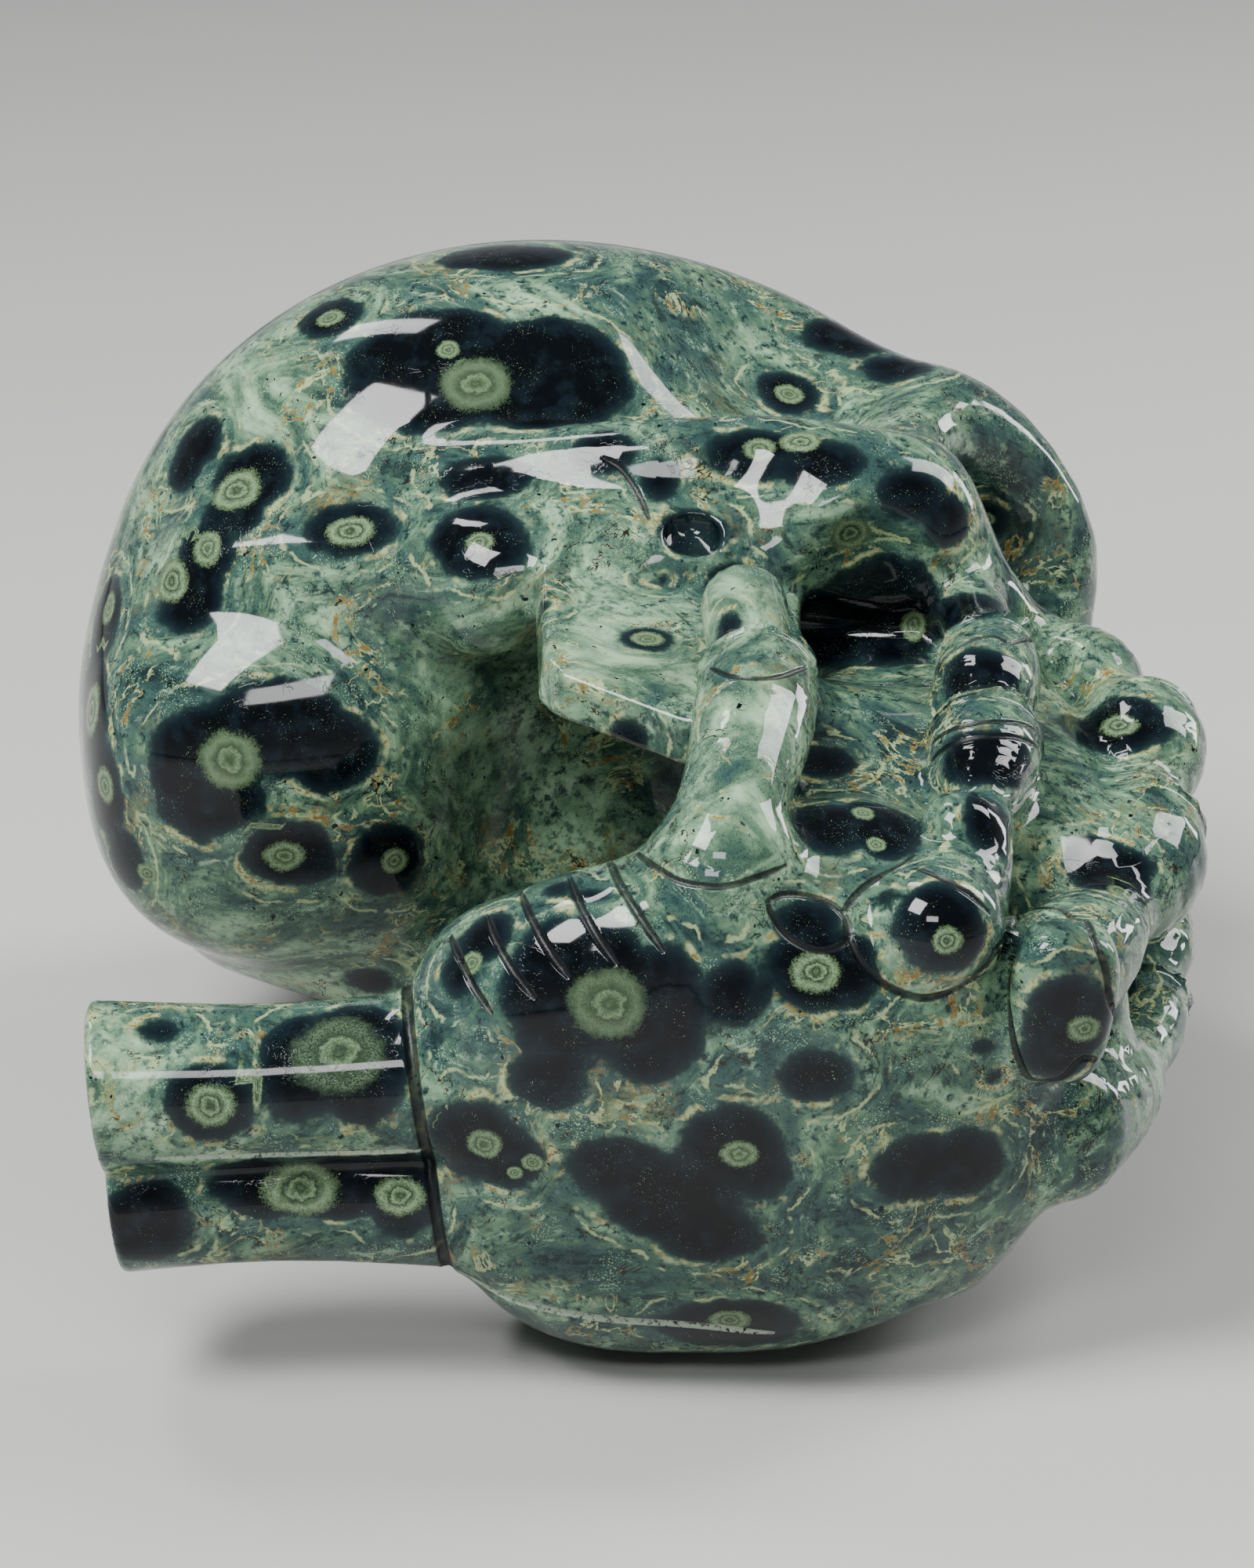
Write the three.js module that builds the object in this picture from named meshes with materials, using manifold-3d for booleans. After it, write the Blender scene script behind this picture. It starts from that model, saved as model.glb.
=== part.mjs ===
// A polished kambaba jasper carving, cut from one stone: a human skull lying on its left side,
// with a bony right hand that cups its jaw from below and ends in a short stub of forearm.
//
// Lengths are in millimetres. The forms are laid out in the skull's own axes: x towards the face,
// y towards the crown, z towards the skull's right side, from the point midway between its ears.
// At the end the carving is rolled about x onto the two sides that it rests on, its left temple
// and the hand's little-finger edge, so that +Z is up and the ground is z = 0.

import * as THREE from 'three';
import { mergeVertices } from 'three/addons/utils/BufferGeometryUtils.js';
import Module from 'manifold-3d';

const wasm = await Module();
wasm.setup();

// How the carving lies
const REST_ROLL = THREE.MathUtils.degToRad(9.5);
const REST_LIFT = 47.8;
const REST_SHIFT_Y = -36;

// Braincase
const BRAINCASE_MIDDLE = [4, 29];
const BRAINCASE_HALF_LENGTH = 61.5;
const BRAINCASE_HALF_WIDTH = 54;
const BRAINCASE_TOP = 47;
const BRAINCASE_BOTTOM = 40;
const BRAINCASE_RISE = 3;
const BRAINCASE_TAPER = 0.1;

// Jaw and teeth
const JAW_HALF_WIDTH = 36;
const JAW_THICKNESS = 6.2;
const JAW_SWING = 8;
const TEETH_PER_ROW = 8;
const TOOTH_DEPTH = 5;
const TOOTH_WIDTH = 3.6;
const TOOTH_ROW_DEPTH = 20;

// Hand and forearm
const HAND_Y = -78;
const WRIST_X = -14;
const FOREARM_LENGTH = 37;
const FOREARM_SLANT = THREE.MathUtils.degToRad(-5.5);

// A closed geometry as a solid that can be joined and cut
function solid(geometry) {
  geometry.deleteAttribute('normal');
  geometry.deleteAttribute('uv');
  const merged = mergeVertices(geometry, 1e-4);
  return new wasm.Manifold(new wasm.Mesh({
    numProp: 3,
    vertProperties: new Float32Array(merged.getAttribute('position').array),
    triVerts: new Uint32Array(merged.index.array),
  }));
}

function union(solids) {
  return solids.reduce((whole, one) => whole.add(one));
}

// The same solid on the skull's left side
function mirrored(geometry) {
  const copy = geometry.clone();
  copy.scale(1, 1, -1);
  const index = copy.index.array;
  for (let i = 0; i < index.length; i += 3) {
    const first = index[i];
    index[i] = index[i + 1];
    index[i + 1] = first;
  }
  return copy;
}

function bothSides(geometry) {
  const left = mirrored(geometry);
  return solid(geometry).add(solid(left));
}

// An egg-shaped lump: its middle, its three half sizes, how it is turned, in degrees, how many
// sides it has round its y axis, and how square it is, from 2 for an egg towards a rounded block
function lump(middle, half, { turn = [0, 0, 0], sides = 14, square = 2 } = {}) {
  const geometry = new THREE.SphereGeometry(1, sides, Math.round(sides * 0.6));
  const place = geometry.getAttribute('position');
  const point = new THREE.Vector3();
  for (let i = 0; i < place.count; i += 1) {
    point.fromBufferAttribute(place, i);
    const sum = Math.abs(point.x) ** square + Math.abs(point.y) ** square + Math.abs(point.z) ** square;
    point.multiplyScalar(1 / sum ** (1 / square));
    place.setXYZ(i, point.x, point.y, point.z);
  }
  geometry.scale(...half);
  const [rx, ry, rz] = turn.map((angle) => THREE.MathUtils.degToRad(angle));
  geometry.applyMatrix4(new THREE.Matrix4().makeRotationFromEuler(new THREE.Euler(rx, ry, rz)));
  geometry.translate(...middle);
  return geometry;
}

// A round limb along a smooth curve through points given as [x, y, z, radius], with round ends
function limb(points, { sides = 8, steps = 2 } = {}) {
  const spans = points.length - 1;
  const count = spans * steps;
  const curve = new THREE.CatmullRomCurve3(points.map(([x, y, z]) => new THREE.Vector3(x, y, z)));
  const frames = curve.computeFrenetFrames(count);
  const rings = [];
  for (let i = 0; i <= count; i += 1) {
    const t = i / count;
    const span = Math.min(spans - 1, Math.floor(t * spans));
    const part = t * spans - span;
    const radius = points[span][3] * (1 - part) + points[span + 1][3] * part;
    rings.push({ at: curve.getPoint(t), frame: i, radius });
  }
  const first = rings[0];
  const last = rings[count];
  const end = (ring, out, width) => ({
    at: ring.at.clone().addScaledVector(frames.tangents[ring.frame], out * ring.radius),
    frame: ring.frame,
    radius: ring.radius * width,
  });
  rings.unshift(end(first, -1, 0), end(first, -0.7, 0.7));
  rings.push(end(last, 0.7, 0.7), end(last, 1, 0));

  const geometry = new THREE.SphereGeometry(1, sides, rings.length - 1);
  const place = geometry.getAttribute('position');
  for (let i = 0; i < place.count; i += 1) {
    const ring = rings[Math.floor(i / (sides + 1))];
    const angle = ((i % (sides + 1)) % sides) / sides * Math.PI * 2;
    const point = ring.at.clone();
    point.addScaledVector(frames.normals[ring.frame], -Math.cos(angle) * ring.radius);
    point.addScaledVector(frames.binormals[ring.frame], Math.sin(angle) * ring.radius);
    place.setXYZ(i, point.x, point.y, point.z);
  }
  return geometry;
}

// A plate with its outline in the skull's side view and its outer face at z = outerZ, then swung
// about the y axis so that it runs inwards to the front
function plate(outline, thickness, outerZ, swing) {
  const shape = new THREE.Shape(outline.map(([x, y]) => new THREE.Vector2(x, y)));
  const geometry = new THREE.ExtrudeGeometry(shape, { depth: thickness, bevelEnabled: false });
  geometry.deleteAttribute('normal');
  geometry.deleteAttribute('uv');
  geometry.rotateY(THREE.MathUtils.degToRad(swing));
  geometry.translate(0, 0, outerZ - thickness);
  return mergeVertices(geometry, 1e-4);
}

// The braincase: a sphere drawn out to the back and to the sides, narrower and higher in front
function braincase() {
  const geometry = new THREE.SphereGeometry(1, 26, 17);
  const place = geometry.getAttribute('position');
  for (let i = 0; i < place.count; i += 1) {
    const forward = place.getX(i);
    const up = place.getY(i);
    const side = place.getZ(i);
    place.setXYZ(
      i,
      BRAINCASE_MIDDLE[0] + BRAINCASE_HALF_LENGTH * forward,
      BRAINCASE_MIDDLE[1] + BRAINCASE_RISE * forward + (up > 0 ? BRAINCASE_TOP : BRAINCASE_BOTTOM) * up,
      BRAINCASE_HALF_WIDTH * side * (1 - BRAINCASE_TAPER * forward),
    );
  }
  const napeLobe = lump([-32, 4, -1.5], [25.5, 23, 25], { sides: 16 });
  const napeRidge = limb([[-38, 6, 25, 6.5], [-26, 2, 27, 7], [-15, -4, 28.5, 7.5], [-8, -9, 29, 7]],
    { steps: 1 });
  const mastoid = limb([[-7, 2, 31, 8], [-5.5, -14, 28.5, 6]], { steps: 1 });
  return union([solid(geometry), solid(napeLobe), bothSides(napeRidge), bothSides(mastoid)]);
}

// Brow, eye rims, nose bones, cheekbones and the upper jaw
function upperFace() {
  const eyeRim = limb([[63, 22, 3, 7], [64.5, 26, 15, 7], [57, 26, 28, 7], [47, 20, 36, 7],
    [42.5, 10, 38, 7], [43.5, 0, 36, 6.8], [49, -6, 28.5, 6.5], [56, -6, 19, 6], [61, 0, 12, 5],
    [62, 12, 7, 5]], { sides: 7, steps: 1 });
  const cheekbone = lump([39.5, -7, 36], [14, 11, 9.5], { turn: [0, 30, 0], sides: 10 });
  const noseBones = limb([[62, 22, 0, 5.5], [67, 12, 0, 4.2], [70, 4, 0, 3]], { sides: 6, steps: 1 });
  const brow = lump([43, 28, 0], [25.5, 17, 40], { sides: 18 });
  const midface = lump([38, 8, 0], [26, 26, 36], { sides: 12 });
  const noseBase = lump([53, -8, 0], [13.5, 13, 15], { sides: 10 });
  const upperJaw = lump([46, -20, 0], [20.5, 20, 23], { sides: 12, square: 2.4 });
  return union([
    bothSides(eyeRim),
    bothSides(cheekbone),
    ...[noseBones, brow, midface, noseBase, upperJaw].map((one) => solid(one)),
  ]);
}

// The cheek arches, which run from the cheekbones back to the ears, and the stone left under them
function cheekArches() {
  const arch = limb([[44, -6, 38, 6.5], [30, -3, 42, 5], [14, -3, 42.5, 4.6], [0, 0, 40, 4.8],
    [-12, 3, 37, 5]], { sides: 7, steps: 1 });
  const shelf = lump([16, -9, 34], [28, 10, 6.5], { sides: 10 });
  return bothSides(arch).add(bothSides(shelf));
}

// The jaw: two flat branches with a notch in the top, the bow with the chin, and the stone between
function jaw() {
  const outline = [[-1.5, -12], [1, -1], [9, -1], [14, -9], [20, -9.5], [26, -3.5], [30, -10], [31, -34],
    [26, -56], [14.5, -53.5], [0, -45], [-1.5, -42]];
  const branch = plate(outline, JAW_THICKNESS, JAW_HALF_WIDTH, JAW_SWING);
  const chin = lump([59, -64, 0], [6, 7, 11], { sides: 8 });
  const side = lump([37, -43, 20], [15, 21, 7.5], { sides: 10 });
  return union([bothSides(branch), solid(jawBow(2, 0, 6)), solid(jawBow(15, 0.5, 6.5)), solid(chin),
    bothSides(side)]);
}

// A bow from one corner of the jaw round the chin to the other, raised by rise
function jawBow(rise, inset, radius) {
  const corner = [22, -54 + rise * 1.1, 26, radius - 0.5];
  const bend = [40, -60 + rise, 18 + inset, radius];
  const besideChin = [53, -64 + rise, 9, radius + 0.5];
  const onLeft = ([x, y, z, r]) => [x, y, -z, r];
  return limb([corner, bend, besideChin, [57, -65 + rise, 0, radius + 1], onLeft(besideChin), onLeft(bend),
    onLeft(corner)], { sides: 7, steps: 1 });
}

// One row of teeth, set round the bow of the jaw
function teeth(count, frontX, halfWidth, y, height) {
  const spread = 0.95;
  const row = [];
  for (let i = 0; i < count; i += 1) {
    const angle = (((i + 0.5) / count) * 2 - 1) * spread;
    const tooth = new THREE.BoxGeometry(TOOTH_DEPTH, height, TOOTH_WIDTH);
    tooth.rotateY(-angle);
    tooth.translate(frontX - TOOTH_ROW_DEPTH * (1 - Math.cos(angle)), y, Math.sin(angle) * halfWidth);
    row.push(solid(tooth));
  }
  return union(row);
}

// The thumb and the fingers, each from its knuckle to its tip, laid against the face, and the stone
// left between the first two fingers
function fingers() {
  const thumb = limb([[14, -78, 20, 10], [18.3, -77, 28, 8.6], [19.2, -73, 33, 6.3], [21.6, -63.5, 36, 6.7],
    [23, -54.5, 37.6, 7], [22.9, -47.5, 38.4, 5.1], [22.6, -36, 39, 5.1]], { sides: 9, steps: 1 });
  const index = limb([[41, -79, 21, 8], [48, -66.5, 27, 3.3], [48.6, -57.2, 27.6, 5.4], [49.5, -50, 28, 7],
    [50.2, -42.6, 28.1, 4.5], [50.8, -37.5, 28.3, 6.2], [52, -29.5, 28.4, 6], [51.7, -25, 28.3, 4.5],
    [50.6, -13.5, 28, 4]], { steps: 1 });
  const middle = limb([[56, -76, 13.5, 7.5], [63.8, -60.5, 12, 4.9], [67.3, -51.5, 12, 7.9],
    [68.4, -45, 12.8, 7.9], [69.2, -38.5, 14.5, 5.2], [70.9, -31, 15.8, 7.2], [71, -26, 16.1, 6.6],
    [68.4, -19, 16.5, 4.5], [66.5, -12.5, 17, 5.6], [62, -8, 18, 4.2]], { steps: 1 });
  const ring = limb([[56, -77, -6, 9], [63, -67, -8, 6.6], [66.8, -58.3, -9.5, 4.5], [69.8, -48.5, -10, 5.3],
    [71.2, -40.5, -9.5, 3.9], [73, -32.5, -9, 5], [70, -24, -8.8, 3.9], [67, -17, -8.5, 4.6]],
  { sides: 7, steps: 1 });
  const little = limb([[43, -76, -20, 8], [52, -62, -24, 4.6], [56, -51.5, -24, 5.9], [58, -43, -24, 4.3],
    [58.8, -36, -24, 5.2], [58.4, -29.5, -23, 4.1], [57.5, -23, -22, 4.7]], { sides: 7, steps: 1 });
  const web = lump([56, -42, 14], [10, 26, 9], { sides: 9 });
  return union([thumb, index, middle, ring, little, web].map((one) => solid(one)));
}

// The back of the hand and the stub of forearm, its two bones side by side, cut off on a slant
function handAndForearm() {
  const endX = WRIST_X - FOREARM_LENGTH;
  const cutOff = new THREE.BoxGeometry(20, 60, 80);
  cutOff.translate(-10, 0, 0);
  cutOff.rotateY(FOREARM_SLANT);
  cutOff.translate(endX, HAND_Y, -5);
  const upperBone = limb([[WRIST_X + 8, HAND_Y, 3, 9.8], [-32, HAND_Y, 1.8, 9],
    [endX - 6, HAND_Y, 1.6, 10.2]], { sides: 11, steps: 1 });
  const lowerBone = limb([[WRIST_X + 8, HAND_Y, -12, 9.8], [-32, HAND_Y, -12, 8.3],
    [endX - 6, HAND_Y, -13.2, 8.8]], { sides: 11, steps: 1 });
  const back = lump([13, HAND_Y, -2.5], [28, 14, 30.5], { sides: 18, square: 2.5 });
  const front = lump([34, HAND_Y, -1.5], [23, 13, 26], { sides: 14, square: 2.3 });
  const heel = lump([18, -68, -24.5], [27, 10, 14], { sides: 12, square: 2.6 });
  const thumbHeel = lump([-1.5, -74.5, 9.5], [14, 10, 10.5], { sides: 10, square: 2.6 });
  const thumbWeb = lump([32, -68, 20], [13, 11, 10], { sides: 10 });
  const knucklePad = lump([54.8, -85, 15], [6, 4.5, 9.5], { turn: [0, 8, 0], sides: 12, square: 3.2 });
  return union([
    ...[back, front, heel, thumbHeel, thumbWeb, knucklePad].map((one) => solid(one)),
    solid(upperBone).add(solid(lowerBone)).subtract(solid(cutOff)),
  ]);
}

// Eye sockets, temples, nose, the hollow of the skull base and the space inside the jaw
function hollows() {
  const eyeSocket = lump([60, 10.5, 22.5], [21, 10.5, 12.5], { turn: [0, -20, 0], sides: 12 });
  const temple = lump([34, 18, 57], [19, 24, 18.5], { turn: [0, 14, 0], sides: 12 });
  const nose = lump([68, -7, 4], [14, 12, 6.5], { turn: [-14, 0, 0], sides: 8 });
  const skullBase = lump([9, -18, 0], [18, 18, 22], { sides: 14 });
  const insideJaw = lump([20, -42, 0], [30, 20, 20], { sides: 14 });
  return union([bothSides(eyeSocket), bothSides(temple), bothSides(nose), solid(skullBase),
    solid(insideJaw)]);
}

// The skull without its hollows under the cheeks and behind the jaw's notches, then those cut in,
// and the fingers and hand laid on
function carving() {
  const head = union([braincase(), upperFace()]).subtract(hollows());
  const upperTeeth = teeth(TEETH_PER_ROW, 66, 19, -37, 7);
  const lowerTeeth = teeth(TEETH_PER_ROW, 64.5, 18, -43, 6);
  const notch = limb([[17.5, -19, 39, 2.8], [17.5, -2, 28.8, 2.5]], { sides: 7, steps: 1 });
  const cheekHollow = lump([39.3, -24.8, 34.5], [9.6, 9, 10.3], { sides: 10 });
  const skull = union([head, cheekArches(), jaw(), upperTeeth, lowerTeeth]);
  return union([skull.subtract(bothSides(notch)).subtract(bothSides(cheekHollow)), fingers(),
    handAndForearm()]);
}

// The carving as it lies, cut flat where it touches the ground
function atRest(whole) {
  const mesh = whole.getMesh();
  const geometry = new THREE.BufferGeometry();
  geometry.setAttribute('position', new THREE.BufferAttribute(new Float32Array(mesh.vertProperties), 3));
  geometry.setIndex(new THREE.BufferAttribute(new Uint32Array(mesh.triVerts), 1));
  geometry.rotateX(REST_ROLL);
  geometry.translate(0, REST_SHIFT_Y, REST_LIFT);
  const ground = new THREE.BoxGeometry(300, 400, 40);
  ground.translate(0, 0, -20);
  const cut = solid(geometry).subtract(solid(ground)).getMesh();
  const rested = new THREE.BufferGeometry();
  rested.setAttribute('position', new THREE.BufferAttribute(new Float32Array(cut.vertProperties), 3));
  rested.setIndex(new THREE.BufferAttribute(new Uint32Array(cut.triVerts), 1));
  rested.computeVertexNormals();
  return rested;
}

const jasper = new THREE.MeshStandardMaterial({ color: 0x55766a, roughness: 0.1, metalness: 0 });
const skullCarving = new THREE.Mesh(atRest(carving()), jasper);
skullCarving.name = 'skull_carving';

const group = new THREE.Group();
group.add(skullCarving);

export default group;
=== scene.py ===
"""A polished kambaba jasper carving: a skull on its left side, its jaw cupped by a bony right hand."""

import math

import bpy
import numpy as np
from mathutils import Matrix, Vector
from mathutils.bvhtree import BVHTree


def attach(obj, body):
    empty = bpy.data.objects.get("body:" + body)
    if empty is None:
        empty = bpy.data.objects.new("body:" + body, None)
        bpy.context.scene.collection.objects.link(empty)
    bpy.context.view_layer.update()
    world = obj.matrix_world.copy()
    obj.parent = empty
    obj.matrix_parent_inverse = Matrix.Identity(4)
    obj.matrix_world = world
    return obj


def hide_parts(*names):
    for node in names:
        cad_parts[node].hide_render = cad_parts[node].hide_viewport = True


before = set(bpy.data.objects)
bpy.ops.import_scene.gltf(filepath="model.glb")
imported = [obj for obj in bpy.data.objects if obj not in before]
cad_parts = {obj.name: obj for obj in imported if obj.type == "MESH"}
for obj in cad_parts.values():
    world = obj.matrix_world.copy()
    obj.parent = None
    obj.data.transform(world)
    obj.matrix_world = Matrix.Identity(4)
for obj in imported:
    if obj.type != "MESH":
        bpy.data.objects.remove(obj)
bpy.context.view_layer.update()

# The forms are laid out in the skull's own axes, in millimetres: x towards the face, y towards the
# crown, z towards its right side, from the point midway between the ears. The carving lies rolled
# about x, on its left temple and the little-finger edge of the hand.
MM = 0.001
REST_ROLL = math.radians(9.5)
REST_SHIFT = np.array([0.0, -36.0, 47.8])
ROLL = np.array(Matrix.Rotation(REST_ROLL, 3, "X"))


def lying(points):
    """From the skull's own axes in millimetres to where the carving lies, in metres."""
    return (points @ ROLL.T + REST_SHIFT) * MM


# The camera looks as the photograph does, from below the skull's base and slightly over its right
# side. It stands 65 cm away with a lens of about 119 mm, so the near hand is only a little larger
# than it would be from far away.
PHOTO_WIDTH, PHOTO_HEIGHT = 1600, 2000
FOCAL_PIXELS = 6630
SENSOR_WIDTH = 36
NEAREST_SEEN, FARTHEST_SEEN = 0.05, 10
CAMERA_DISTANCE = 650
CAMERA_TURN, CAMERA_RISE = math.radians(-2), math.radians(29)
AIM_RIGHT, AIM_DOWN = 10.3, 3.3

view_back = np.array([
    math.sin(CAMERA_TURN) * math.cos(CAMERA_RISE),
    -math.cos(CAMERA_TURN) * math.cos(CAMERA_RISE),
    math.sin(CAMERA_RISE),
])
view_right = np.array([math.cos(CAMERA_TURN), math.sin(CAMERA_TURN), 0])
view_up = np.cross(view_back, view_right)
camera_place = view_right * AIM_RIGHT - view_up * AIM_DOWN + view_back * CAMERA_DISTANCE

view_axes = ROLL @ np.column_stack([view_right, view_up, view_back])
bpy.ops.object.camera_add(location=lying(camera_place))
camera = bpy.context.object
camera.name = "camera"
camera.rotation_euler = Matrix(view_axes.tolist()).to_euler()
camera.data.sensor_width = SENSOR_WIDTH
camera.data.lens = FOCAL_PIXELS * SENSOR_WIDTH / PHOTO_HEIGHT
camera.data.clip_start, camera.data.clip_end = NEAREST_SEEN, FARTHEST_SEEN
bpy.context.scene.camera = camera


# The braincase is a rounded box of stone with a heavy round lobe at the nape, and a ridge on either
# side that runs out to the bump behind the ear. Each form is written as the gap between any points
# and its surface, less than 0 inside it, so that neighbours can meet in polished fillets.
TINY = 1e-9
NEAR_MARGIN = 4


def lump(middle, half, turn=(0, 0, 0), square=2.0):
    """An egg at square 2, and towards a brick with round edges above that."""
    middle, half = np.array(middle, float), np.array(half, float)
    turns = [Matrix.Rotation(math.radians(angle), 3, axis) for angle, axis in zip(turn, "XYZ")]
    axes = np.array(turns[0] @ turns[1] @ turns[2])
    reach = np.abs(axes) @ half

    def distance(points):
        q = np.abs((points - middle) @ axes) / half
        size = np.maximum((q ** square).sum(1), TINY) ** (1 / square)
        return (size - 1) / np.linalg.norm((q / size[:, None]) ** (square - 1) / half, axis=1)

    return middle - reach, middle + reach, distance


def limb(course, per_span=4):
    """A round bone with round ends, along a smooth curve through points given as (x, y, z, radius)."""
    course = np.array(course, float)
    along = np.r_[0, np.cumsum(np.linalg.norm(np.diff(course[:, :3], axis=0), axis=1))]
    slope = np.gradient(course, along, axis=0)
    t = np.linspace(0, 1, per_span, endpoint=False)[:, None]
    rows = []
    for i, span in enumerate(np.diff(along)):
        rows.append((1 + 2 * t) * (1 - t) ** 2 * course[i] + t * (1 - t) ** 2 * span * slope[i]
                    + t ** 2 * (3 - 2 * t) * course[i + 1] + t ** 2 * (t - 1) * span * slope[i + 1])
    rows = np.vstack(rows + [course[-1:]])
    place, radius = rows[:, :3], rows[:, 3]

    def distance(points):
        gap = np.full(len(points), np.inf)
        for a, b, start, end in zip(place, place[1:], radius, radius[1:]):
            bone = b - a
            h = np.clip((points - a) @ bone / (bone @ bone), 0, 1)
            off = np.linalg.norm(points - a - h[:, None] * bone, axis=1) - start - (end - start) * h
            np.minimum(gap, off, out=gap)
        return gap

    return (place - radius[:, None]).min(0), (place + radius[:, None]).max(0), distance


def fillet(gap, other_gap, width):
    """How much stone lies between two surfaces and the round that is polished where they meet."""
    share = np.clip(width - np.abs(gap - other_gap), 0, None) / width
    return share * share * width / 4


def join(points, gap, form, width):
    """Adds a form to the stone, with a fillet of that width where the two meet."""
    low, high, distance = form
    near = ((points > low - width - NEAR_MARGIN) & (points < high + width + NEAR_MARGIN)).all(1)
    form_gap = distance(points[near])
    gap[near] = np.minimum(gap[near], form_gap) - fillet(gap[near], form_gap, width)


def cut(points, gap, form, width):
    """Takes a form out of the stone, with an edge rounded over that width."""
    low, high, distance = form
    near = ((points > low - width - NEAR_MARGIN) & (points < high + width + NEAR_MARGIN)).all(1)
    form_gap = -distance(points[near])
    gap[near] = np.maximum(gap[near], form_gap) + fillet(gap[near], form_gap, width)


def folded(points):
    """The points folded over onto the skull's right side, for forms that it has on both sides."""
    return points * (1, 1, 0) + np.abs(points) * (0, 0, 1)


BRAINCASE_MIDDLE = (4, 29)
BRAINCASE_HALF_LENGTH, BRAINCASE_HALF_WIDTH = 61.5, 54
BRAINCASE_TOP, BRAINCASE_BOTTOM = 47, 40
BRAINCASE_RISE, BRAINCASE_TAPER = 3, 0.1
TAPER_ENDS = 1.2

NAPE_LOBE = lump((-32, 4, -1.5), (25.5, 23, 25), square=2.4)
NAPE_RIDGE = limb([(-38, 6, 25, 6.5), (-26, 2, 27, 7), (-15, -4, 28.5, 7.5), (-8, -9, 29, 7)])
MASTOID = limb([(-7, 2, 31, 8), (-5.5, -14, 28.5, 6)])


def braincase(points):
    """The gap between points and the braincase with its nape and the bumps behind the ears."""
    forward = (points[:, 0] - BRAINCASE_MIDDLE[0]) / BRAINCASE_HALF_LENGTH
    rise = points[:, 1] - BRAINCASE_MIDDLE[1] - BRAINCASE_RISE * forward
    height = np.where(rise > 0, BRAINCASE_TOP, BRAINCASE_BOTTOM)
    width = BRAINCASE_HALF_WIDTH * (1 - BRAINCASE_TAPER * np.clip(forward, -TAPER_ENDS, TAPER_ENDS))
    q = np.column_stack([forward, rise / height, points[:, 2] / width])
    size = np.maximum(np.linalg.norm(q, axis=1), TINY)
    halves = np.column_stack([np.full(len(points), BRAINCASE_HALF_LENGTH), height, width])
    gap = (size - 1) / np.linalg.norm(q / size[:, None] / halves, axis=1)
    join(points, gap, NAPE_LOBE, width=13)
    join(folded(points), gap, NAPE_RIDGE, width=7)
    join(folded(points), gap, MASTOID, width=6)
    return gap


# The face has brow, eye rims, cheekbones, nose bones and upper jaw. The sockets, the temples, the
# nose opening and the hollow under each cheekbone are cut in. The cheek arches run back to the ears
# as broad shelves, and the skull's base is one smooth hollow.
BROW = lump((43, 28, 0), (25.5, 17, 40))
EYE_RIM = limb([
    (63, 22, 3, 7), (64.5, 26, 15, 7), (57, 26, 28, 7), (47, 20, 36, 7), (42.5, 10, 38, 7),
    (43.5, 0, 36, 6.8), (49, -6, 28.5, 6.5), (56, -6, 19, 6), (61, 0, 12, 5), (62, 12, 7, 5),
], per_span=3)
CHEEKBONE = lump((39.5, -7, 36), (14, 11, 9.5), turn=(0, 30, 0))
NOSE_BONES = limb([(62, 22, 0, 5.5), (67, 12, 0, 4.2), (70, 4, 0, 3)])
MIDFACE = lump((38, 8, 0), (26, 26, 36))
NOSE_BASE = lump((53, -8, 0), (13.5, 13, 15))
UPPER_JAW = lump((46, -20, 0), (20.5, 20, 23), square=2.4)
CHEEK_ARCH = limb([
    (44, -6, 38, 6.5), (30, -3, 42, 5.2), (14, -3, 42.5, 4.8), (0, 0, 40, 5), (-12, 3, 37, 5),
])
ARCH_SHELF = lump((16, -9, 34), (28, 10, 6.5))

EYE_SOCKET = lump((60, 10.5, 22.5), (21, 10.5, 12.5), turn=(0, -20, 0), square=2.2)
TEMPLE = lump((34, 18, 57), (19, 24, 18.5), turn=(0, 14, 0))
CHEEK_HOLLOW = lump((39.3, -24.4, 35.2), (9.8, 9.9, 11.6))
NOSE_OPENING = lump((68, -7, 4), (14, 12, 6.5), turn=(-14, 0, 0))
SKULL_BASE = lump((9, -18, 0), (17, 17, 22))
INSIDE_JAW = lump((20, -42, 0), (30, 20, 20))


def head(points):
    """The gap between points and the head without its arches and lower jaw."""
    gap = braincase(points)
    both = folded(points)
    join(points, gap, BROW, width=8)
    join(points, gap, MIDFACE, width=8)
    join(both, gap, EYE_RIM, width=6)
    join(both, gap, CHEEKBONE, width=6)
    join(points, gap, NOSE_BONES, width=4)
    join(points, gap, NOSE_BASE, width=6)
    join(points, gap, UPPER_JAW, width=6)
    cut(both, gap, EYE_SOCKET, width=4)
    cut(both, gap, TEMPLE, width=9)
    cut(both, gap, NOSE_OPENING, width=2)
    cut(points, gap, SKULL_BASE, width=12)
    cut(points, gap, INSIDE_JAW, width=6)
    return gap


# The jaw is two flat branches with crisp edges that rise behind the cheeks and meet in the bow with
# the chin. The stone between branch and teeth was left standing. The teeth are two rows of small
# rounded blocks, cut from the same stone.
JAW_HALF_WIDTH, JAW_THICKNESS, JAW_SWING = 36, 6.2, 8
JAW_EDGE = 1.3
JAW_OUTLINE = [
    (-1.5, -12), (1, -1), (9, -1), (14, -9), (20, -9.5), (26, -3.5),
    (30, -10), (31, -34), (26, -56), (14.5, -53.5), (0, -45), (-1.5, -42),
]
TOOTH_HALF, TOOTH_SQUARE = (2.6, 3.6, 2.0), 3.2
TOOTH_ROW_HALF_ARC, TOOTH_ROW_DEPTH = 0.95, 20


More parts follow.
